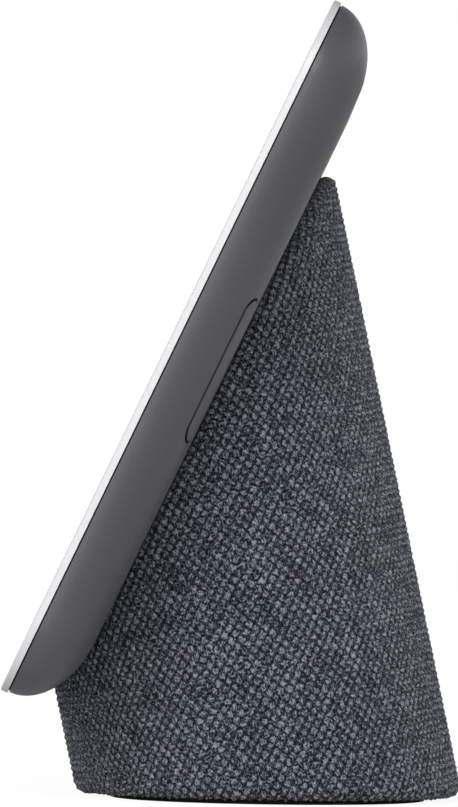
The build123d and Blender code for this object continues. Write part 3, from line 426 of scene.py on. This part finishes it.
# %% Raise the weave
SEAM_MERGE = 0.00001
sleeve.data.vertices.foreach_set("co", (lifted[row, column] * MM).ravel())
tone_layer = sleeve.data.attributes.new("tone", "FLOAT", "POINT")
tone_layer.data.foreach_set("value", np.clip(tone, 0, 1)[row, column % wide].astype(np.float32))
bpy.ops.object.mode_set(mode="EDIT")
bpy.ops.mesh.select_all(action="DESELECT")
bpy.ops.object.mode_set(mode="OBJECT")
sleeve.data.vertices.foreach_set("select", ~keep[row, column])
bpy.ops.object.mode_set(mode="EDIT")
bpy.ops.mesh.delete(type="VERT")
bpy.ops.mesh.select_all(action="SELECT")
bpy.ops.mesh.remove_doubles(threshold=SEAM_MERGE)
if face_out < 0:
    bpy.ops.mesh.flip_normals()
bpy.ops.object.mode_set(mode="OBJECT")
bpy.ops.object.shade_smooth()
woven_area = sum(p.area for p in sleeve.data.polygons)
print("sleeve faces", len(sleeve.data.polygons), "woven surface in cm2", round(woven_area * 1e4, 1))

# %% [markdown]
# ## The yarn's finish
# The yarn is a charcoal blue melange: slate grey on the pebbles, with single pale fibres. Shade is painted
# into its colour too: the pebbles lighter on top than at their sides, the lower yarn in the dips darker and
# the creases between them nearly black. The round outlines are drawn on the UV map, which runs with the
# weave: the distance to the nearest pebble's middle makes a dome, the distance to the nearest dip's middle
# a lower one, and a slow noise bends both so that no two are alike.

# %% Yarn outlines
PEBBLE_RADIUS, DEEP_RADIUS = 0.57, 0.38
UPRIGHT = 0.9
DRIFT = 0.2
yarn, tree, shader = new_finish("woven_yarn", Roughness=0.9, Sheen_Weight=0.1, Sheen_Roughness=0.4)
shader.inputs["Specular IOR Level"].default_value = 0.2


def vector_node(operation, first, second, output="Vector"):
    return add_node(tree, "VectorMath", {"operation": operation}, i0=first, i1=second).outputs[output]


uv = add_node(tree, "TexCoord").outputs["UV"]
cells = add_node(tree, "Mapping", Vector=uv, Scale=(COLUMNS, rows / STEPS, 1.0)).outputs["Vector"]
drift = add_node(tree, "TexNoise", Vector=cells, Scale=1.6, Detail=1.0).outputs["Color"]
drift = vector_node("MULTIPLY", vector_node("SUBTRACT", drift, (0.5, 0.5, 0.5)), (DRIFT, DRIFT, 0.0))
drifted = vector_node("ADD", cells, drift)


def nearest(offsets):
    """Distance in mm to the nearest point of the weave's lattice, shifted by each of two offsets."""
    distances = []
    for offset in offsets:
        place = vector_node("FRACTION", vector_node("ADD", drifted, offset), (0.0, 0.0, 0.0))
        place = vector_node("SUBTRACT", place, (0.5, 0.5, 0.0))
        in_mm = vector_node("MULTIPLY", place, (girth / COLUMNS, REPEAT_HEIGHT * UPRIGHT, 0.0))
        distances.append(vector_node("LENGTH", in_mm, (0.0, 0.0, 0.0), "Value"))
    return math_node(tree, "MINIMUM", *distances)


def rounded(distance, radius):
    """A half round of unit height over a spot of the given radius."""
    slope = math_node(tree, "POWER", math_node(tree, "DIVIDE", distance, radius), 2.0)
    return math_node(tree, "SQRT", math_node(tree, "MAXIMUM", math_node(tree, "SUBTRACT", 1.0, slope), 0.0))


dome = rounded(nearest([(0.5, 0.5, 0.0), (0.0, 0.0, 0.0)]), PEBBLE_RADIUS)
deep_yarn = rounded(nearest([(0.0, 0.5, 0.0), (0.5, 0.0, 0.0)]), DEEP_RADIUS)
print("pebbles of", PEBBLE_RADIUS, "mm and dips of", DEEP_RADIUS, "mm in radius")

# %% [markdown]
# The yarn's tone is a sum: the domes, which carry the painted shade of pebble sides, dips and creases, a
# noise stretched along the columns for the fibres, an even noise for the specks, and each pebble's own tone
# for the mottling. A colour ramp turns it into yarn colours with that painted shade. The same domes and
# fibres give a fine bump on top of the modelled relief.

# %% Yarn colour and bump
DOME_TONE_AND_PAINTED_SHADE, DEEP_TONE_AND_PAINTED_SHADE, BASE_SHADE = 0.57, 0.28, 0.1
FIBRE_SHADE, SPECK_SHADE, TONE_SHADE = 2.0, 1.8, 0.4
DEEP_BUMP, FIBRE_BUMP, SPECK_BUMP = 0.6, 0.7, 0.4
FIBRE_SCALE, FIBRE_TURN = (8.0, 5.0, 1.0), (0.0, 0.0, -0.12)
# the darkest stops are painted shade for the creases and the lower yarn in the dips
YARN_COLORS_AND_PAINTED_SHADE = [
    (0.00, (0.004, 0.005, 0.009)),
    (0.25, (0.015, 0.019, 0.029)),
    (0.52, (0.076, 0.086, 0.110)),
    (0.95, (0.290, 0.306, 0.342)),
]


def weighed(value, weight, middle=0.5):
    return math_node(tree, "MULTIPLY", math_node(tree, "SUBTRACT", value, middle), weight)


def times(value, weight):
    return math_node(tree, "MULTIPLY", value, weight)


fibre_way = add_node(tree, "Mapping", Vector=cells, Scale=FIBRE_SCALE, Rotation=FIBRE_TURN).outputs["Vector"]
fibres = add_node(tree, "TexNoise", Vector=fibre_way, Scale=1.0, Detail=2.0, Roughness=0.65).outputs["Fac"]
specks = add_node(tree, "TexNoise", Vector=cells, Scale=5.0, Detail=1.0).outputs["Fac"]
pebble_tone = add_node(tree, "Attribute", {"attribute_name": "tone"}).outputs["Fac"]
# painted shade: the domes make pebble tops lighter than their sides, the lower yarn darker and the creases
# nearly black
tone_and_painted_shade = math_node(tree, "MAXIMUM", times(dome, DOME_TONE_AND_PAINTED_SHADE), times(deep_yarn, DEEP_TONE_AND_PAINTED_SHADE))
tone_and_painted_shade = math_node(tree, "ADD", tone_and_painted_shade, BASE_SHADE)
for layer, weight in ((fibres, FIBRE_SHADE), (specks, SPECK_SHADE), (pebble_tone, TONE_SHADE)):
    tone_and_painted_shade = math_node(tree, "ADD", tone_and_painted_shade, weighed(layer, weight))
tree.links.new(color_ramp(tree, tone_and_painted_shade, YARN_COLORS_AND_PAINTED_SHADE), shader.inputs["Base Color"])
bump_height = math_node(tree, "MAXIMUM", dome, times(deep_yarn, DEEP_BUMP))
for layer, weight in ((fibres, FIBRE_BUMP), (specks, SPECK_BUMP)):
    bump_height = math_node(tree, "ADD", bump_height, times(layer, weight))
bump = add_node(tree, "Bump", Strength=0.8, Distance=0.0003, Height=bump_height)
tree.links.new(bump.outputs["Normal"], shader.inputs["Normal"])
sleeve.data.materials.append(yarn)
print("yarn nodes", len(tree.nodes))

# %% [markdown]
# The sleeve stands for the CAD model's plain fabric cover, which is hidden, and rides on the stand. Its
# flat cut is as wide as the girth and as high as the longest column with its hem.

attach(sleeve, "display_and_stand")
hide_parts("fabric_cover")
print("flat cut in mm", round(girth, 1), round(float(rim_at.max() - lowest), 1))

# %% [markdown]
# ## Moulded housing
# The rear housing is dark grey plastic from a finely eroded mould: matte, with a grain that is only
# seen as a soft break-up of the highlights. Roughness and bump share one fine noise, and a broad noise
# varies the colour a little.

# %% Housing finish
DARK_SHARE, LIGHT_SHARE, ROUGHNESS_SWING = 0.93, 1.07, 0.07
BROAD_SCALE = 45.0


def object_place(tree):
    return add_node(tree, "TexCoord").outputs["Object"]


def moulded(name, color, roughness, grain):
    material, tree, shader = new_finish(name, Specular_IOR_Level=0.3)
    place = object_place(tree)
    fine = add_node(tree, "TexNoise", Vector=place, Scale=grain, Detail=2.0).outputs["Fac"]
    broad = add_node(tree, "TexNoise", Vector=place, Scale=BROAD_SCALE, Detail=3.0).outputs["Fac"]
    dark = tuple(c * DARK_SHARE for c in color)
    light = tuple(c * LIGHT_SHARE for c in color)
    tree.links.new(color_ramp(tree, broad, [(0.3, dark), (0.7, light)]), shader.inputs["Base Color"])
    swing = (roughness - ROUGHNESS_SWING, roughness + ROUGHNESS_SWING)
    tree.links.new(map_range(tree, fine, (0.0, 1.0), swing), shader.inputs["Roughness"])
    bump = add_node(tree, "Bump", Strength=0.25, Distance=0.00005, Height=fine)
    tree.links.new(bump.outputs["Normal"], shader.inputs["Normal"])
    return material


HOUSING_COLOR, HOUSING_ROUGHNESS, HOUSING_GRAIN = (0.078, 0.0785, 0.0865), 0.36, 5200.0
housing_plastic = moulded("moulded_charcoal", HOUSING_COLOR, HOUSING_ROUGHNESS, HOUSING_GRAIN)
for name in ("rear_housing", "mic_slider"):
    dress(name, housing_plastic)
inlet_plastic = moulded("moulded_black", (0.022, 0.022, 0.024), 0.38, 4200.0)
for name in ("power_inlet", "stand_frame", "base_plate"):
    dress(name, inlet_plastic)
print("plastics", housing_plastic.name, inlet_plastic.name)

# %% [markdown]
# The volume rocker is the same plastic. Its flanks stand in a narrow slot where little light falls, and that
# shade is painted: the finish turns nearly black wherever a face doesn't look out of the slot. The way out
# of the slot is the normal of the housing's rolled edge at the rocker.

# %% Rocker finish
ROCKER_TURN = math.radians(68.0)
# painted shade for the rocker's flanks in the slot
FLANK_PAINTED_SHADE = (0.014, 0.014, 0.015, 1.0)
FACE_FROM, FACE_FULL = 0.5, 0.8


def looking(tree, direction):
    """How squarely a face looks in a direction: 1 straight at it, 0 across it."""
    normal = add_node(tree, "TexCoord").outputs["Normal"]
    product = {"operation": "DOT_PRODUCT"}
    return add_node(tree, "VectorMath", product, i0=normal, i1=tuple(direction)).outputs["Value"]


side_part = math.cos(ROCKER_TURN) / EDGE_RUN
back_part = math.sin(ROCKER_TURN) / (DISPLAY_DEPTH - HOUSING_FRONT)
rocker_out = side_part * sideways + back_part * face_back
rocker_out /= np.linalg.norm(rocker_out)
rocker_plastic = moulded("rocker_charcoal", HOUSING_COLOR, HOUSING_ROUGHNESS, HOUSING_GRAIN)
tree = rocker_plastic.node_tree
shader = next(node for node in tree.nodes if node.type == "BSDF_PRINCIPLED")
face_color = shader.inputs["Base Color"].links[0].from_socket
on_face = map_range(tree, looking(tree, rocker_out), (FACE_FROM, FACE_FULL), (0.0, 1.0))
# painted shade: faces that don't look out of the slot are coloured nearly black
painted_slot_shade = add_node(tree, "Mix", {"data_type": "RGBA"}, i0=on_face, i6=FLANK_PAINTED_SHADE, i7=face_color)
tree.links.new(painted_slot_shade.outputs[2], shader.inputs["Base Color"])
dress("volume_rocker", rocker_plastic)
print("the rocker faces", rocker_out.round(3))

# %% [markdown]
# ## Glass, border and unlit screen
# The cover glass is printed from behind: a pale border round a dark unlit screen. Both lie under the
# same gloss, while the edge of the glass is ground and matt. The border is found from the place on the
# glass, turned upright by a Mapping node, and the ground edge from the way that the surface looks.

# %% Cover glass finish
SCREEN_HALF_WIDTH, SCREEN_HALF_HEIGHT = 0.0771, 0.04295
PRINT_EDGE = 0.00005
SCREEN_COLOR, BORDER_COLOR = (0.006, 0.0065, 0.008), (0.60, 0.600, 0.612)
GROUND_UNTIL, POLISHED_FROM = 0.3, 0.9
GROUND_ROUGHNESS, POLISHED_ROUGHNESS = 0.42, 0.06
glass, tree, shader = new_finish("printed_cover_glass", IOR=1.5)
face_centre = FACE_FOOT * MM + face_up * DISPLAY_HEIGHT / 2 * MM
turned = add_node(
    tree,
    "Mapping",
    {"vector_type": "TEXTURE"},
    Vector=object_place(tree),
    Location=tuple(face_centre),
    Rotation=(math.radians(90.0) - TILT, 0.0, 0.0),
).outputs["Vector"]
parts = add_node(tree, "SeparateXYZ", Vector=turned)
across = math_node(tree, "SUBTRACT", math_node(tree, "ABSOLUTE", parts.outputs["X"]), SCREEN_HALF_WIDTH)
upward = math_node(tree, "SUBTRACT", math_node(tree, "ABSOLUTE", parts.outputs["Y"]), SCREEN_HALF_HEIGHT)
outside = math_node(tree, "MAXIMUM", across, upward)
border = map_range(tree, outside, (-PRINT_EDGE, PRINT_EDGE), (0.0, 1.0))
glass_color = color_ramp(tree, border, [(0.0, SCREEN_COLOR), (1.0, BORDER_COLOR)])
tree.links.new(glass_color, shader.inputs["Base Color"])
polish_span = (GROUND_ROUGHNESS, POLISHED_ROUGHNESS)
polish = map_range(tree, looking(tree, -face_back), (GROUND_UNTIL, POLISHED_FROM), polish_span)
tree.links.new(polish, shader.inputs["Roughness"])
dress("cover_glass", glass)
print("screen in mm", 2 * SCREEN_HALF_WIDTH / MM, 2 * SCREEN_HALF_HEIGHT / MM)

# %% [markdown]
# ## Rubber and metal
# The seal behind the glass and the foot are soft black rubber with a stippled skin, and the contact in
# the inlet is bare metal.

# %% Rubber and metal finishes
def rubber(name, color, roughness, grain, depth):
    material, tree, shader = new_finish(name, Roughness=roughness, Specular_IOR_Level=0.2)
    place = object_place(tree)
    stipple = add_node(tree, "TexVoronoi", Vector=place, Scale=grain).outputs["Distance"]
    cloud = add_node(tree, "TexNoise", Vector=place, Scale=60.0, Detail=3.0).outputs["Fac"]
    dark = tuple(c * 0.8 for c in color)
    tree.links.new(color_ramp(tree, cloud, [(0.3, dark), (0.7, color)]), shader.inputs["Base Color"])
    bump = add_node(tree, "Bump", Strength=0.4, Distance=depth, Height=stipple)
    tree.links.new(bump.outputs["Normal"], shader.inputs["Normal"])
    return material


dress("display_gasket", rubber("seal_rubber", (0.008, 0.008, 0.009), 0.7, 3000.0, 0.00003))
dress("foot_pad", rubber("foot_rubber", (0.045, 0.045, 0.048), 0.75, 1400.0, 0.00008))
contact, tree, shader = new_finish("contact_metal", Metallic=1.0, Base_Color=(0.62, 0.58, 0.5, 1.0))
scratches = add_node(tree, "TexNoise", Vector=object_place(tree), Scale=2500.0).outputs["Fac"]
tree.links.new(map_range(tree, scratches, (0.0, 1.0), (0.18, 0.34)), shader.inputs["Roughness"])
dress("inlet_pin", contact)
print("finishes", len(bpy.data.materials))

# %% [markdown]
# ## Floor
# The picture has a white ground with no visible floor. The floor is white to the camera alone, and to
# other light it is a pale matt ground. Near the object a share of that ground still shows, for a faint
# shadow at the foot, and half a metre out the floor is as white as the world, so that no horizon shows.

# %% Floor
FLOOR_SIZE = 8.0
GROUND_COLOR, WHITE = (0.82, 0.82, 0.82, 1.0), (1.0, 1.0, 1.0, 1.0)
SHADOW_SPAN = (0.25, 0.5)
WHITE_SHARE, WHITE_LEVEL = (0.8, 1.0), (1.16, 1.0)


def seen_directly(tree, rays):
    return math_node(tree, "MAXIMUM", rays.outputs["Is Camera Ray"], rays.outputs["Is Transmission Ray"])


bpy.ops.object.select_all(action="DESELECT")
bpy.ops.mesh.primitive_plane_add(size=FLOOR_SIZE, location=(0.0, 0.0, 0.0))
floor = bpy.context.object
floor.name = floor.data.name = "studio_floor"
ground = bpy.data.materials.new("pale_ground")
ground.use_nodes = True
tree = ground.node_tree
tree.nodes.clear()
from_middle = add_node(tree, "VectorMath", {"operation": "LENGTH"}, i0=object_place(tree)).outputs["Value"]
share = map_range(tree, from_middle, SHADOW_SPAN, WHITE_SHARE)
level = map_range(tree, from_middle, SHADOW_SPAN, WHITE_LEVEL)
seen = math_node(tree, "MULTIPLY", seen_directly(tree, add_node(tree, "LightPath")), share)
pale = add_node(tree, "BsdfDiffuse", Color=GROUND_COLOR)
white = add_node(tree, "Emission", Color=WHITE, Strength=level)
both = add_node(tree, "MixShader", Fac=seen, i1=pale.outputs["BSDF"], i2=white.outputs["Emission"])
result = add_node(tree, "OutputMaterial")
tree.links.new(both.outputs["Shader"], result.inputs["Surface"])
floor.data.materials.append(ground)
print("floor", floor.name, "in metres", FLOOR_SIZE)

# %% [markdown]
# ## World
# The world is white to the camera and gives the object only a weak even light. Gloss mirrors it as in a
# studio: white near the horizon and dimmer higher up.

# %% World
EVEN_LIGHT = 0.06
MIRRORED_SPAN, MIRRORED_LEVEL = (0.0, 0.5), (1.0, 0.2)
world = bpy.data.worlds.new("studio_world")
bpy.context.scene.world = world
world.use_nodes = True
tree = world.node_tree
tree.nodes.clear()
rays = add_node(tree, "LightPath")
sky_way = add_node(tree, "TexCoord").outputs["Generated"]
sky_height = add_node(tree, "SeparateXYZ", Vector=sky_way).outputs["Z"]
mirrored = map_range(tree, sky_height, MIRRORED_SPAN, MIRRORED_LEVEL)
mirrored = math_node(tree, "MULTIPLY", rays.outputs["Is Glossy Ray"], mirrored)
seen = math_node(tree, "MAXIMUM", seen_directly(tree, rays), mirrored)
strength = map_range(tree, seen, (0.0, 1.0), (EVEN_LIGHT, 1.0))
sky = add_node(tree, "Background", Color=WHITE, Strength=strength)
result = add_node(tree, "OutputWorld")
tree.links.new(sky.outputs["Background"], result.inputs["Surface"])
print("world", world.name)

# %% [markdown]
# ## Lamps
# One large soft lamp above the camera gives the main light. A weak one reaches round to the screen, and
# two more light the far side for views from there. These three leave no mirror image in the gloss.

# %% Lamps
MIDDLE = (0.0, 0.0, 0.05)
KEY_SIZE, FILL_SIZE = 1.5, 1.2


def soft_lamp(name, place, size, power):
    data = bpy.data.lights.new(name, "AREA")
    data.shape = "DISK"
    data.size = size
    data.energy = power
    lamp = bpy.data.objects.new(name, data)
    bpy.context.scene.collection.objects.link(lamp)
    lamp.location = place
    lamp.rotation_euler = (Vector(MIDDLE) - Vector(place)).to_track_quat("-Z", "Y").to_euler()
    lamp.visible_camera = False
    return lamp


soft_lamp("key_lamp", (1.88, 0.0, 0.73), KEY_SIZE, 39.0)
for name, place, power in (
    ("screen_side_lamp", (1.54, -1.08, 0.73), 5.0),
    ("far_front_lamp", (-1.5, -1.4, 0.5), 26.0),
    ("far_back_lamp", (-0.7, 1.85, 0.5), 12.0),
):
    soft_lamp(name, place, FILL_SIZE, power).visible_glossy = False
bpy.context.scene.view_settings.view_transform = "Standard"
print("lamps", len(bpy.data.lights))
